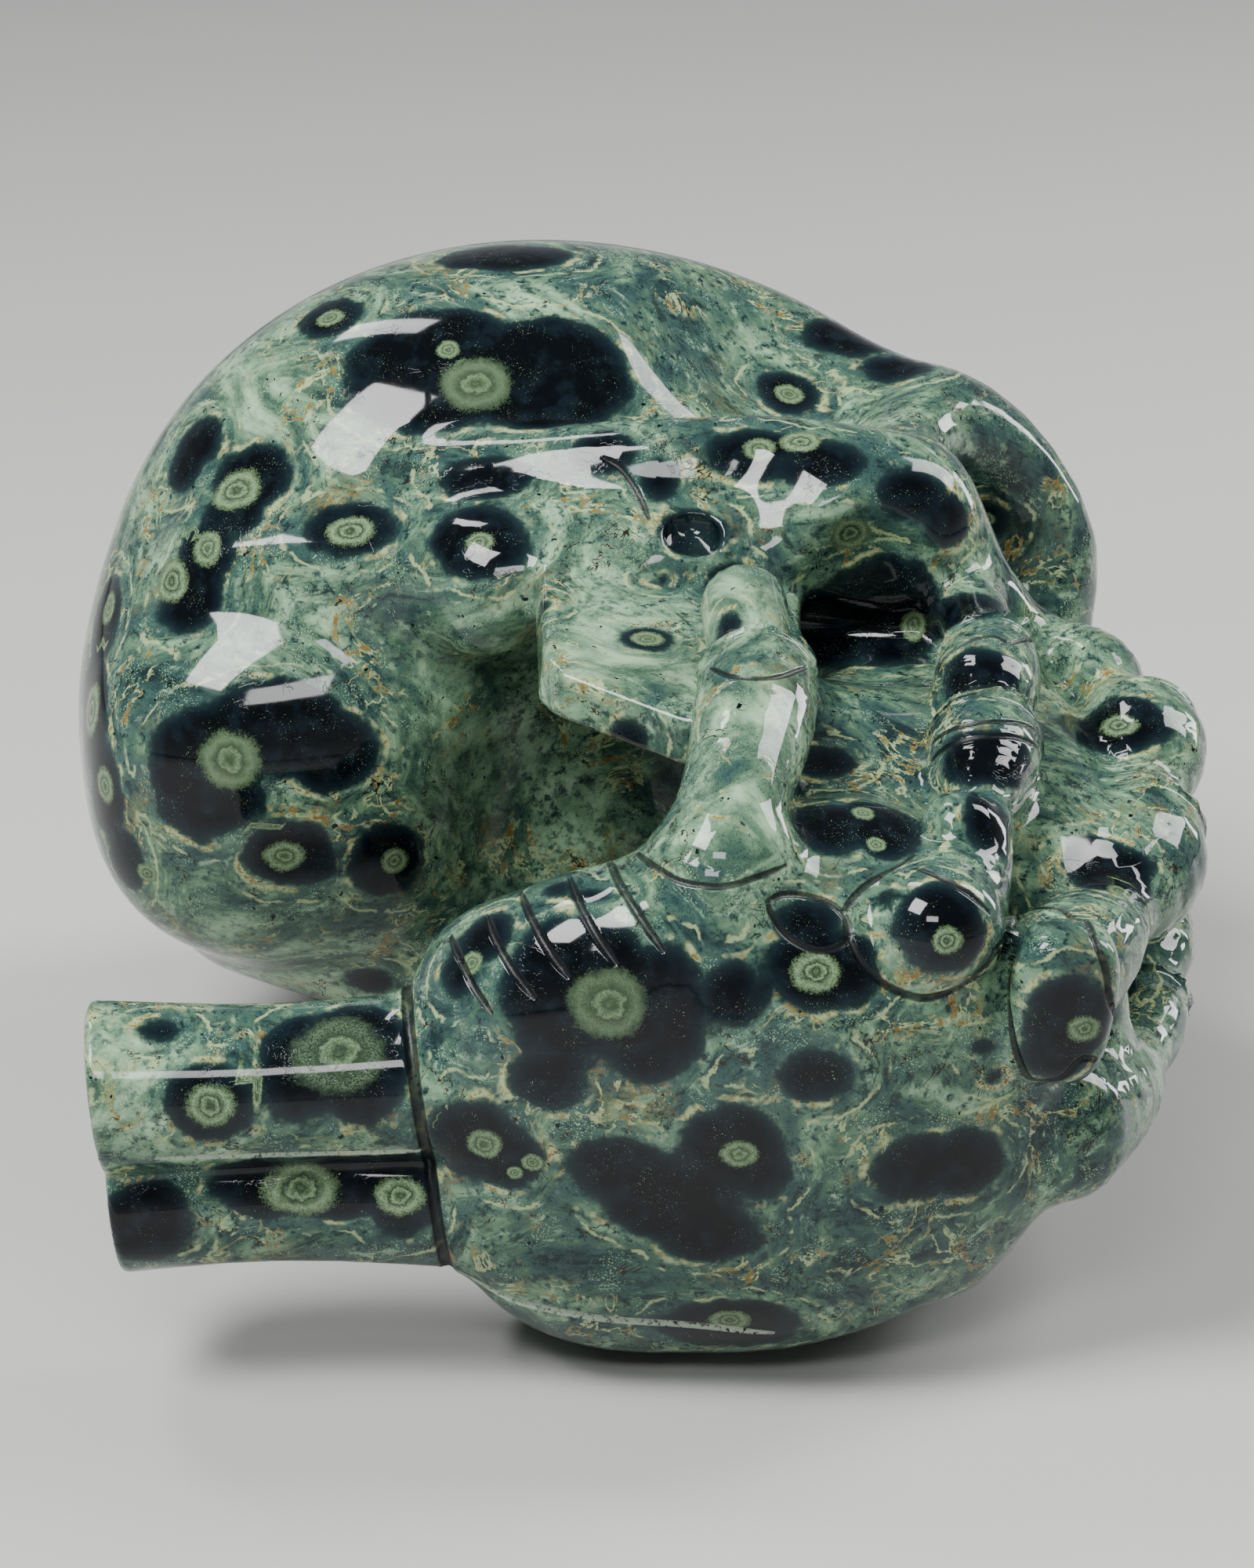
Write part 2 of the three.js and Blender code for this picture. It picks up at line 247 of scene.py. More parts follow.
def plate(outline, thickness, outer_z, swing, edge):
    """A flat plate with that outline in side view, swung inwards to the front, its edges rounded."""
    corners = np.array(outline, float)
    axes = np.array(Matrix.Rotation(math.radians(swing), 3, "Y"))
    foot = np.array([0, 0, outer_z - thickness])

    def distance(points):
        q = (points - foot) @ axes
        xy = q[:, :2]
        squared, inside = np.full(len(points), np.inf), np.ones(len(points))
        for a, b in zip(corners, np.roll(corners, -1, axis=0)):
            side = b - a
            off = xy - a
            h = np.clip(off @ side / (side @ side), 0, 1)
            np.minimum(squared, ((off - h[:, None] * side) ** 2).sum(1), out=squared)
            between = (a[1] > xy[:, 1]) != (b[1] > xy[:, 1])
            crossing = between & ((side[0] * off[:, 1] > side[1] * off[:, 0]) != (side[1] < 0))
            inside[crossing] *= -1
        past_faces = np.abs(q[:, 2] - thickness / 2) - thickness / 2
        rim = np.column_stack([np.sqrt(squared) * inside, past_faces]) + edge
        return np.minimum(rim.max(1), 0) + np.linalg.norm(np.maximum(rim, 0), axis=1) - edge

    room_to_swing = np.array([2.0, 2.0, 12.0])
    low = np.append(corners.min(0), outer_z - thickness)
    high = np.append(corners.max(0), outer_z)
    return low - room_to_swing, high + room_to_swing, distance


def jaw_bow(rise, inset, radius):
    """One of the stacked rounds that make the front of the jaw, from branch to branch."""
    right = [
        (22, -54 + rise * 1.1, 26, radius - 0.5),
        (40, -60 + rise, 18 + inset, radius),
        (53, -64 + rise, 9, radius + 0.5),
    ]
    left = [(x, y, -z, r) for x, y, z, r in reversed(right)]
    return limb(right + [(57, -65 + rise, 0, radius + 1)] + left)


JAW_BRANCH = plate(JAW_OUTLINE, JAW_THICKNESS, JAW_HALF_WIDTH, JAW_SWING, JAW_EDGE)
JAW_BOWS = [jaw_bow(0, 0, 5), jaw_bow(9, 0.5, 5), jaw_bow(18, 0.5, 5)]
CHIN = lump((59, -64, 0), (6, 7, 11))
JAW_SIDE = lump((37, -43, 20), (15, 21, 7.5))
JAW_NOTCH = [
    limb([(16.6, -21, 42, 2.3), (16.6, -3.5, 30.5, 2.2)]),
    limb([(18.5, -21, 41.7, 2.3), (18.5, -3.5, 30.2, 2.2)]),
]


def tooth_row(count, front_x, half_width, y):
    """Teeth side by side along a bow, each turned to face outwards."""
    row = []
    for i in range(count):
        angle = ((i + 0.5) / count * 2 - 1) * TOOTH_ROW_HALF_ARC
        middle = (front_x - TOOTH_ROW_DEPTH * (1 - math.cos(angle)), y, math.sin(angle) * half_width)
        row.append(lump(middle, TOOTH_HALF, turn=(0, -math.degrees(angle), 0), square=TOOTH_SQUARE))
    return row


TEETH = tooth_row(9, 66, 19, -37) + tooth_row(9, 64.5, 18, -44)


def skull(points):
    """The gap between points and the whole skull, with its arches, lower jaw and teeth."""
    gap = head(points)
    both = folded(points)
    join(both, gap, CHEEK_ARCH, width=5)
    join(both, gap, ARCH_SHELF, width=7)
    for bow in JAW_BOWS:
        join(points, gap, bow, width=6)
    join(points, gap, CHIN, width=6)
    join(both, gap, JAW_SIDE, width=7)
    join(both, gap, JAW_BRANCH, width=2.5)
    cut(both, gap, CHEEK_HOLLOW, width=3)
    for drilled in JAW_NOTCH:
        cut(both, gap, drilled, width=1.2)
    for tooth in TEETH:
        join(points, gap, tooth, width=0.8)
    return gap


# The back of the hand is one smooth cushion with a raised pad over the middle knuckle. The stub of
# forearm shows its two bones side by side, drawn in at the middle and cut off on a slant.
HAND_Y, WRIST_X, FOREARM_LENGTH = -78, -14, 37
FOREARM_SLANT = math.radians(-5.5)
FOREARM_END = WRIST_X - FOREARM_LENGTH
FOREARM_END_EDGE, FOREARM_MIDDLE_Z = 1.2, -5
FAR_OFF = 50.0

HAND_BACK = lump((13, HAND_Y, -2.5), (28, 14, 30.5), square=2.5)
HAND_FRONT = lump((34, HAND_Y, -1.5), (23, 13, 26), square=2.3)
HAND_HEEL = lump((18, -68, -24.5), (27, 10, 14), square=2.6)
THUMB_HEEL = lump((-1.5, -74.5, 9.5), (14, 10.5, 11), square=2.6)
THUMB_WEB = lump((32, -68, 20), (13, 11, 10))
KNUCKLE_PAD = lump((54.8, -85, 15), (6, 4.5, 9.5), turn=(0, 8, 0), square=3.2)
IN_HAND_X, WAIST_X, PAST_END_X = WRIST_X + 8, -32, FOREARM_END - 6
FOREARM_BONES = [
    limb([(IN_HAND_X, HAND_Y, 3, 9.8), (WAIST_X, HAND_Y, 1.8, 9), (PAST_END_X, HAND_Y, 1.6, 10.2)]),
    limb([(IN_HAND_X, HAND_Y, -12, 9.8), (WAIST_X, HAND_Y, -12, 8.3), (PAST_END_X, HAND_Y, -13.2, 8.8)]),
]


def hand(points):
    """The gap between points and the back of the hand with the stub of forearm."""
    gap = np.full(len(points), FAR_OFF)
    for bone in FOREARM_BONES:
        join(points, gap, bone, width=1.5)
    past_end = (FOREARM_END - points[:, 0]) * math.cos(FOREARM_SLANT)
    past_end += (points[:, 2] - FOREARM_MIDDLE_Z) * math.sin(FOREARM_SLANT)
    gap = np.maximum(gap, past_end) + fillet(gap, past_end, FOREARM_END_EDGE)
    join(points, gap, HAND_BACK, width=3)
    join(points, gap, HAND_FRONT, width=12)
    join(points, gap, HAND_HEEL, width=8)
    join(points, gap, THUMB_HEEL, width=5)
    join(points, gap, THUMB_WEB, width=9)
    join(points, gap, KNUCKLE_PAD, width=1.5)
    return gap


# The thumb and fingers are bones from knuckle to tip, swollen at the joints, with collars there.
# They are laid against the face and are all one with it.
THUMB = limb([
    (14, -78, 20, 10), (18.3, -77, 28, 8.6), (19, -74.5, 32, 6.6), (20, -70.5, 34.3, 6.2),
    (21.6, -63.5, 36, 6.7), (22.8, -57, 37.2, 6.9), (23.2, -53.5, 37.8, 6.5), (23, -49, 38.3, 4.9),
    (22.7, -43, 38.8, 5), (22.6, -36, 39, 5.1),
])
INDEX = limb([
    (41, -79, 21, 8), (46, -72.5, 25, 4.6), (48, -67.4, 27, 3.1), (48, -63.6, 27.2, 3.4),
    (48.6, -57.2, 27.6, 5.4), (49.4, -51.6, 28, 6.5), (50, -46, 28, 5), (50.2, -42.6, 28.1, 4.5),
    (50.8, -37.5, 28.3, 6.2), (51.8, -31.5, 28.4, 5.8), (51.7, -25, 28.3, 4.5),
    (51.2, -18.5, 28.2, 4.3), (50.6, -13.5, 28, 4),
])
MIDDLE = limb([
    (56, -76, 13.5, 7.5), (59.5, -71, 13.5, 6.4), (63.8, -60.5, 12, 4.9), (67.8, -49, 12, 8.3),
    (69.2, -38.5, 14.5, 5.2), (71, -29.2, 16, 7.4), (68.4, -19, 16.5, 4.5), (66.5, -12.5, 17, 5.6),
    (62, -8, 18, 4.2),
])
RING = limb([
    (56, -77, -6, 9), (63, -67, -8, 6.6), (66.8, -58.3, -9.5, 4.5), (69.8, -48.5, -10, 5.3),
    (71.2, -40.5, -9.5, 3.9), (73, -32.5, -9, 4.9), (70, -24, -8.8, 3.9), (67, -17, -8.5, 4.6),
])
LITTLE = limb([
    (43, -76, -20, 8), (47, -71, -22, 6.8), (52, -62, -24, 4.6), (56, -51.5, -24, 5.9),
    (58, -43, -24, 4.3), (58.8, -36, -24, 5.2), (58.4, -29.5, -23, 4.1), (57.5, -23, -22, 4.7),
])
FINGER_WEB = lump((56, -42, 14), (10, 26, 9))
KNUCKLE_DOME = lump((44.9, -69.7, 28), (4.6, 4.6, 4.6))


def collar(middle, radius, half_width, turn=(0, 0, 0)):
    """The raised band round a finger joint."""
    return lump(middle, (radius, half_width, radius), turn)


COLLARS = [
    collar((23.2, -51.7, 38), 7, 1.3),
    collar((49.7, -49.3, 28), 7.4, 1.2, turn=(0, 0, 6)),
    collar((49.9, -47, 28), 6.6, 1.1, turn=(0, 0, 6)),
    collar((52.2, -29, 28.4), 6.6, 1.2, turn=(0, 0, 4)),
    collar((68.6, -43.6, 13.2), 8, 1.6, turn=(8, 0, -8)),
    collar((71, -24.8, 16.2), 7, 1.4),
    collar((70.6, -45, -9.8), 5.6, 1.2),
    collar((73, -29, -9), 5.2, 1.2),
    collar((57, -48, -24), 6, 1.2),
    collar((58.7, -33, -23.6), 5.4, 1.2),
]
INDEX_KNUCKLE = lump((41.3, -82, 23.2), (7.5, 7.5, 7))
HAND_FILLET = 3


def carved(points):
    """The gap between points and the whole carving, before the fine lines."""
    gap = skull(points)
    hand_gap = hand(points)
    gap = np.minimum(gap, hand_gap) - fillet(gap, hand_gap, HAND_FILLET)
    join(points, gap, FINGER_WEB, width=6)
    for finger in (THUMB, INDEX, MIDDLE, RING, LITTLE):
        join(points, gap, finger, HAND_FILLET)
    join(points, gap, INDEX_KNUCKLE, width=1.5)
    join(points, gap, KNUCKLE_DOME, width=1.5)
    for band in COLLARS:
        join(points, gap, band, width=0.8)
    ground = -(points @ ROLL[2] + REST_SHIFT[2])
    return np.maximum(gap, ground)


# The blank is the CAD solid, merged into one skin and remeshed evenly. Its points are then moved
# onto the carved surface by formula, as a sculptor's tool would be, because no set of edit-mode
# steps gives fillets this smooth between sixty forms.
VOXEL = 1.85 * MM
MERGE_WITHIN = 1e-6
LONGEST_MOVE = 1.5


def slope_of(shape, points, step=0.05):
    """The gap at each point, and which way is out of the stone, from how the gap changes."""
    here = shape(points)
    rise = np.column_stack([shape(points + step * axis) - here for axis in np.eye(3)])
    return here, rise / np.maximum(np.linalg.norm(rise, axis=1), TINY)[:, None]


def upright(points):
    """The way back from where the carving lies to the skull's own axes."""
    return (np.asarray(points) / MM - REST_SHIFT) @ ROLL


def points_of(mesh):
    places = np.empty(len(mesh.vertices) * 3)
    mesh.vertices.foreach_get("co", places)
    return upright(places.reshape(-1, 3))


def set_points(mesh, points):
    mesh.vertices.foreach_set("co", lying(points).ravel())
    mesh.update()


def remesh(stone, voxel):
    modifier = stone.modifiers.new("even skin", "REMESH")
    modifier.mode = "VOXEL"
    modifier.voxel_size = voxel
    modifier.use_smooth_shade = True
    bpy.ops.object.modifier_apply(modifier=modifier.name)


def edge_ends(mesh):
    """The numbers of the two points that each edge joins."""
    ends = np.empty(len(mesh.edges) * 2, int)
    mesh.edges.foreach_get("vertices", ends)
    return ends.reshape(-1, 2).T


def settle(mesh, shape, rounds, ease=0.0):
    """Moves the points onto the shape, and with ease spreads them evenly over it."""
    points = points_of(mesh)
    a, b = edge_ends(mesh)
    whole = len(points)
    count = np.bincount(a, minlength=whole) + np.bincount(b, minlength=whole)
    for _ in range(rounds):
        here, out = slope_of(shape, points)
        points -= np.clip(here, -LONGEST_MOVE, LONGEST_MOVE)[:, None] * out
        if ease:
            sums = [np.bincount(a, axis[b], whole) + np.bincount(b, axis[a], whole) for axis in points.T]
            pull = (np.column_stack(sums) / count[:, None] - points) * ease
            points += pull - (pull * out).sum(1)[:, None] * out
    set_points(mesh, points)


bpy.ops.object.select_all(action="DESELECT")
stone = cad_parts["skull_carving"].copy()
stone.data = stone.data.copy()
for key in list(stone.keys()):
    del stone[key]
stone.parent = None
stone.name = "jasper_skull"
bpy.context.collection.objects.link(stone)
stone.select_set(True)
bpy.context.view_layer.objects.active = stone
bpy.ops.object.mode_set(mode="EDIT")
bpy.ops.mesh.select_all(action="SELECT")
bpy.ops.mesh.remove_doubles(threshold=MERGE_WITHIN)
bpy.ops.mesh.select_mode(type="FACE")
bpy.ops.object.mode_set(mode="OBJECT")
remesh(stone, VOXEL)
settle(stone.data, carved, rounds=4, ease=0.3)
remesh(stone, VOXEL)
settle(stone.data, carved, rounds=6, ease=0.35)

# The engraved lines were cut with the edge of a wheel after the forms were done, and left less
# polished: the wrist, five short strokes past it, and the outlines of knuckles and pads. They are
# placed by where the photograph shows them, in its pixels, and lie in the stone's surface.
skin = BVHTree.FromObject(stone, bpy.context.evaluated_depsgraph_get())


def spot(x, y):
    """Where a point of the photograph lies on the stone, and None past its outline."""
    in_frame = view_right * (x - PHOTO_WIDTH / 2) - view_up * (y - PHOTO_HEIGHT / 2)
    way = in_frame / FOCAL_PIXELS - view_back
    hit = skin.ray_cast(Vector(lying(camera_place)), Vector(ROLL @ way))[0]
    return None if hit is None else upright(hit)


TAPER_TIP, TAPER_RATE = 0.35, 1.5
LAYING_ROUNDS, LONGEST_LAYING_MOVE = 3, 1


def engraved(pixels, radius, per_span=5):
    """A tapering wheel cut along a smooth curve that is laid into the surface."""
    places = [spot(x, y) for x, y in pixels]
    places = np.array([place for place in places if place is not None])
    at = np.arange(len(places))
    fine = np.linspace(0, len(places) - 1, (len(places) - 1) * per_span + 1)
    slope = np.gradient(places, axis=0)
    i = np.minimum(fine.astype(int), len(places) - 2)
    t = (fine - i)[:, None]
    rows = ((1 + 2 * t) * (1 - t) ** 2 * places[i] + t * (1 - t) ** 2 * slope[i]
            + t ** 2 * (3 - 2 * t) * places[i + 1] + t ** 2 * (t - 1) * slope[i + 1])
    for _ in range(LAYING_ROUNDS):
        here, out = slope_of(carved, rows)
        rows -= np.clip(here, -LONGEST_LAYING_MOVE, LONGEST_LAYING_MOVE)[:, None] * out
    taper = np.clip(np.minimum(fine, len(places) - 1 - fine) * TAPER_RATE + TAPER_TIP, 0, 1)
    return limb(np.column_stack([rows, radius * taper]), per_span=1)


WRIST_LINE_X, WRIST_LINE_SLOPE = -15.2, 0.123
WRIST_LINE_RADIUS, WRIST_LINE_LIFT, WRIST_LINE_EDGE = 0.6, 0.1, 0.4
HAND_STARTS_Y = -60
LINE_EDGE = 0.3
WRIST_STROKES = [
    [(575, 1193), (588, 1225), (606, 1262), (627, 1292)],
    [(622, 1169), (636, 1205), (656, 1240), (682, 1273)],
    [(665, 1139), (680, 1175), (700, 1212), (725, 1246)],
    [(727, 1120), (742, 1158), (762, 1195), (786, 1229)],
    [(778, 1099), (795, 1135), (818, 1172), (847, 1213)],
]
HAND_EDGE = [(584, 1622), (640, 1652), (700, 1670), (800, 1685), (900, 1692), (985, 1700)]
THUMB_FOOT = [(812, 1088), (835, 1105), (868, 1124), (920, 1131), (960, 1121), (1003, 1104)]
LENS = [
    [(978, 1150), (1000, 1141), (1030, 1142), (1060, 1152), (1080, 1172), (1087, 1192)],
    [(978, 1150), (990, 1176), (1010, 1198), (1040, 1212), (1070, 1208), (1087, 1192)],
]
BALL_OUTLINE = [
    (1078, 1172), (1085, 1200), (1105, 1235), (1140, 1262), (1180, 1273),
    (1220, 1262), (1255, 1235), (1280, 1202), (1298, 1165),
]
BALL_TOP = [(1075, 1165), (1090, 1143), (1110, 1125), (1140, 1107), (1168, 1090)]
DOME_FOOT = [(1165, 1108), (1200, 1120), (1235, 1140), (1262, 1165)]
PAD_OUTLINE = [
    (1300, 1166), (1286, 1200), (1282, 1245), (1288, 1300), (1300, 1352), (1318, 1378), (1352, 1376),
    (1392, 1350), (1416, 1318), (1421, 1290), (1411, 1240), (1395, 1195), (1365, 1168), (1330, 1158),
    (1300, 1166),
]
EAR_FOLD = [(770, 584), (790, 596), (806, 616), (818, 638), (828, 662)]
COLLAR_LINES = [
    [(906, 852), (930, 862), (965, 866), (1000, 862), (1029, 852)],
    [(1188, 950), (1205, 935), (1240, 924), (1285, 921), (1325, 937)],
    [(1188, 970), (1207, 953), (1240, 942), (1285, 939), (1325, 956)],
    [(1222, 826), (1240, 816), (1270, 812), (1300, 818), (1325, 834)],
]
FOREARM_SEAM = [(112, 1478), (200, 1478), (300, 1475), (400, 1472), (480, 1470), (535, 1468)]
DUSTY_LINES = [engraved(HAND_EDGE, radius=0.45), engraved(FOREARM_SEAM, radius=0.35)]
LINES = [
    engraved(THUMB_FOOT, radius=0.27),
    engraved(BALL_OUTLINE, radius=0.33),
    engraved(BALL_TOP, radius=0.28),
    engraved(DOME_FOOT, radius=0.28),
    engraved(PAD_OUTLINE, radius=0.36),
    engraved(EAR_FOLD, radius=0.3),
]
LINES += [engraved(stroke, radius=0.38) for stroke in WRIST_STROKES]
LINES += [engraved(arc, radius=0.3) for arc in LENS]
LINES += [engraved(line, radius=0.22) for line in COLLAR_LINES]


def past_wrist(points):
    """How far each point lies on the hand's side of the wrist line, and far off it on the skull."""
    across = points[:, 0] - WRIST_LINE_X + WRIST_LINE_SLOPE * points[:, 2]
    return np.where(points[:, 1] < HAND_STARTS_Y, across, FAR_OFF)


def finished(points):
    """The gap between points and the carving with its engraved lines."""
    gap = carved(points)
    ring_cut = WRIST_LINE_RADIUS - np.hypot(past_wrist(points), gap - WRIST_LINE_LIFT)
    gap = np.maximum(gap, ring_cut) + fillet(gap, ring_cut, WRIST_LINE_EDGE)
    for line in LINES + DUSTY_LINES:
        cut(points, gap, line, LINE_EDGE)
    return gap


def off_lines(points, lines, reach=4.0):
    """How far each point is from the nearest of the lines."""
    gap = np.full(len(points), reach)
    for low, high, distance in lines:
        near = ((points > low - reach) & (points < high + reach)).all(1)
        gap[near] = np.minimum(gap[near], distance(points[near]))
    return gap


def off_wrist(points):
    """How far each point is from the side of the wrist line."""
    return np.abs(past_wrist(points)) - WRIST_LINE_RADIUS


LINES_FIRST = 10


def refine(mesh, shape, near_lines, count):
    """Divides that many faces: the ones near engraved lines, then where the surface turns most."""
    points = points_of(mesh)
    out = slope_of(shape, points)[1]
    a, b = edge_ends(mesh)
    turn = np.linalg.norm(out[a] - out[b], axis=1)
    wish = np.zeros(len(points))
    np.maximum.at(wish, a, turn)
    np.maximum.at(wish, b, turn)
    off_any_line = np.minimum(off_lines(points, LINES + DUSTY_LINES), off_wrist(points))
    wish += LINES_FIRST * (off_any_line < near_lines)
    corners = np.empty(len(mesh.loops), int)
    mesh.loops.foreach_get("vertex_index", corners)
    starts = np.empty(len(mesh.polygons), int)
    mesh.polygons.foreach_get("loop_start", starts)
    face_wish = np.maximum.reduceat(wish[corners], starts)
    chosen = np.zeros(len(starts), bool)
    chosen[np.argsort(-face_wish, kind="stable")[:count]] = True
    bpy.ops.object.mode_set(mode="EDIT")
    bpy.ops.mesh.select_all(action="DESELECT")
    bpy.ops.object.mode_set(mode="OBJECT")
    mesh.polygons.foreach_set("select", chosen)
    bpy.ops.object.mode_set(mode="EDIT")
    bpy.ops.mesh.subdivide(number_cuts=1)
    bpy.ops.object.mode_set(mode="OBJECT")


refine(stone.data, carved, near_lines=2.2, count=5500)
settle(stone.data, carved, rounds=2, ease=0.2)
refine(stone.data, carved, near_lines=1.2, count=7000)
settle(stone.data, finished, rounds=3)
refine(stone.data, finished, near_lines=0.45, count=6500)
settle(stone.data, finished, rounds=5)
here, out = slope_of(finished, points_of(stone.data))
stone.data.normals_split_custom_set_from_vertices((out @ ROLL.T).tolist())
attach(stone, "root")
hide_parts("skull_carving")

# The stone is made of dark balls, up to 4 cm across, in a green ground, and many hold a green eye
# with rings. A ball shows as a round patch where the surface cuts it. The visible ones are placed
# by their middle and half sizes in the photograph's pixels, the others at random. One dark patch
# in the list, at 884, 680, is painted shade in the drilled hole between cheek arch and jaw.
ORBS_AND_PAINTED_SHADE = [
    (642, 328, 85, 22), (423, 404, 46, 33), (560, 470, 125, 88), (690, 480, 115, 82),
    (255, 564, 40, 34), (236, 598, 26, 34), (322, 612, 58, 48), (298, 650, 44, 36),
    (262, 706, 42, 40), (240, 764, 50, 46), (134, 790, 24, 62), (118, 905, 26, 78),
    (134, 1012, 26, 62), (160, 1096, 26, 44), (448, 675, 65, 37), (609, 690, 70, 50),
    (262, 985, 78, 88), (350, 930, 88, 62), (420, 960, 62, 52), (368, 1090, 58, 48),
    (495, 1098, 48, 52), (1006, 503, 40, 38), (618, 610, 62, 28), (960, 580, 62, 34),
    (1045, 590, 56, 34), (772, 575, 42, 28), (842, 612, 22, 26), (1162, 630, 46, 34),
    (1208, 662, 34, 34), (1082, 430, 62, 30), (1145, 470, 46, 26), (826, 816, 34, 20),
    (804, 940, 25, 22), (1062, 782, 74, 72), (1138, 780, 70, 74), (1050, 972, 42, 22),
    (1060, 1055, 52, 48), (1120, 1052, 58, 50), (1200, 1186, 62, 60), (1262, 965, 66, 42),
    (1262, 1045, 34, 46), (1250, 865, 52, 44), (1228, 778, 58, 26), (1425, 925, 70, 38),
    (1415, 1115, 62, 52), (1362, 1300, 56, 62), (1345, 1345, 42, 38), (269, 1409, 56, 50),
    (385, 1362, 58, 72), (458, 1350, 62, 86), (350, 1514, 78, 40), (430, 1512, 92, 42),
    (511, 1525, 46, 58), (203, 1314, 26, 15), (187, 1560, 66, 52), (740, 1262, 110, 92),
    (828, 1292, 74, 92), (935, 1270, 44, 42), (1049, 1235, 76, 52), (702, 1376, 50, 40),
    (606, 1455, 58, 62), (645, 1475, 46, 46), (1040, 1372, 46, 36), (935, 1462, 66, 58),
    (958, 1488, 50, 50), (785, 1490, 62, 42), (862, 1530, 92, 62), (900, 1568, 70, 46),
    (1165, 1492, 56, 46), (1232, 1486, 58, 46), (933, 1690, 88, 38), (1254, 1335, 15, 9),
    (1268, 1374, 11, 7), (618, 1196, 42, 36), (586, 1240, 26, 34), (712, 1134, 19, 10),
    # Painted shade: the dark patch at 884, 680 fills the drilled hole between cheek arch and jaw
    (752, 1142, 22, 7), (1030, 1178, 42, 30), (930, 800, 16, 26), (884, 680, 44, 30),
    (842, 740, 10, 6), (1130, 1145, 12, 9), (470, 1250, 30, 18), (690, 780, 16, 12),
]
EYES = [
    (421, 405, 20, 14), (606, 490, 46, 36), (572, 446, 15, 13), (303, 626, 34, 31),
    (264, 700, 20, 23), (219, 741, 25, 29), (139, 776, 10, 24), (117, 905, 15, 34),
    (134, 1002, 15, 24), (187, 1114, 17, 13), (447, 677, 34, 20), (611, 692, 19, 14),
    (293, 970, 40, 38), (363, 1092, 27, 19), (503, 1098, 18, 17), (1007, 503, 19, 17),
    (968, 573, 21, 15), (1021, 563, 26, 15), (1084, 681, 27, 22), (826, 815, 22, 12),
    (1165, 798, 15, 21), (1101, 1037, 15, 14), (1118, 1077, 13, 11), (1208, 1200, 20, 18),
    (1427, 925, 27, 15), (1430, 1138, 19, 19), (1384, 1312, 23, 18), (269, 1410, 32, 29),
    (432, 1345, 62, 50), (384, 1516, 48, 34), (511, 1525, 33, 25), (776, 1280, 50, 45),
    (1040, 1240, 32, 25), (618, 1459, 23, 20), (679, 1483, 14, 12), (657, 1496, 11, 9),
    (943, 1472, 24, 18), (931, 1684, 26, 15), (602, 1228, 16, 15), (345, 1508, 9, 9),
    (1312, 780, 10, 14),
]
# Where the ground is paler or darker than the rest, and by how much. Two patches are painted light
# and shade: one brightens the shaded hollow between nape lobe and jaw, one darkens the eye socket.
TONES_WITH_PAINTED_LIGHT = [
    (960, 920, 80, 110, 1), (930, 1085, 100, 50, 0.8), (945, 760, 60, 60, 0.6),
    (150, 1370, 90, 60, 0.8), (760, 830, 120, 60, 0.7), (380, 520, 110, 90, 0.6),
    # Painted light: the patch at 570, 930 brightens the shaded hollow between the nape lobe and the jaw
    (570, 930, 90, 150, 1.4), (620, 790, 130, 45, 0.6), (1050, 650, 130, 50, 0.5),
    (1200, 1100, 60, 30, 0.6), (1100, 1570, 200, 110, -0.9), (760, 1610, 190, 80, -0.8),
    (1000, 1390, 200, 70, -0.6), (640, 1340, 90, 80, -0.6), (1100, 920, 140, 70, -0.9),
    # Painted shade: the patch at 1290, 640 darkens the inside of the eye socket
    (900, 400, 170, 70, -0.5), (1290, 640, 80, 140, -1.5), (1330, 1520, 80, 140, -0.8),
    (420, 870, 70, 70, -0.6), (100, 950, 50, 260, -0.7),
]
# The random orbs: how many, and between which sizes, the largest first
RANDOM_ORBS = [(16, 8.5, 14), (36, 5, 8.5), (90, 2, 4.5)]
RANDOM_TRIES = 6000
RANDOM_SEED = 11
RANDOM_LENGTH, RANDOM_BREADTH = (1, 1.35), (0.75, 1)
SPACING_SHARE, SPACING_GAP = 0.95, 0.6
EYE_CHANCE, EYE_SHARE, EYE_OFF_MIDDLE = 0.65, (0.3, 0.5), 0.2
SMALLEST_WITH_EYE = 2
FAR_AWAY = 9.0
# A ball whose middle falls past the outline is looked for so many pixels further in
PIXELS_INWARD = 12
BALL_DEPTH = 1.2


def ball(x, y, half_x, half_y):
    """An orb or eye in the photograph: its middle, the matrix that scales it to size 1, its size."""
    middle = spot(x, y)
    if middle is None:
        middle = spot(x + PIXELS_INWARD * np.sign(PHOTO_WIDTH / 2 - x), y)
    if middle is None:
        return None
    scale = ((camera_place - middle) @ view_back) / FOCAL_PIXELS
    halves = np.array([half_x, half_y, BALL_DEPTH * max(half_x, half_y)]) * scale
    return middle, np.array([view_right, view_up, view_back]) / halves[:, None], halves[:2].mean()


orbs_and_painted_shade = [found for found in (ball(*row) for row in ORBS_AND_PAINTED_SHADE) if found]
eyes = [found for found in (ball(*row) for row in EYES) if found]

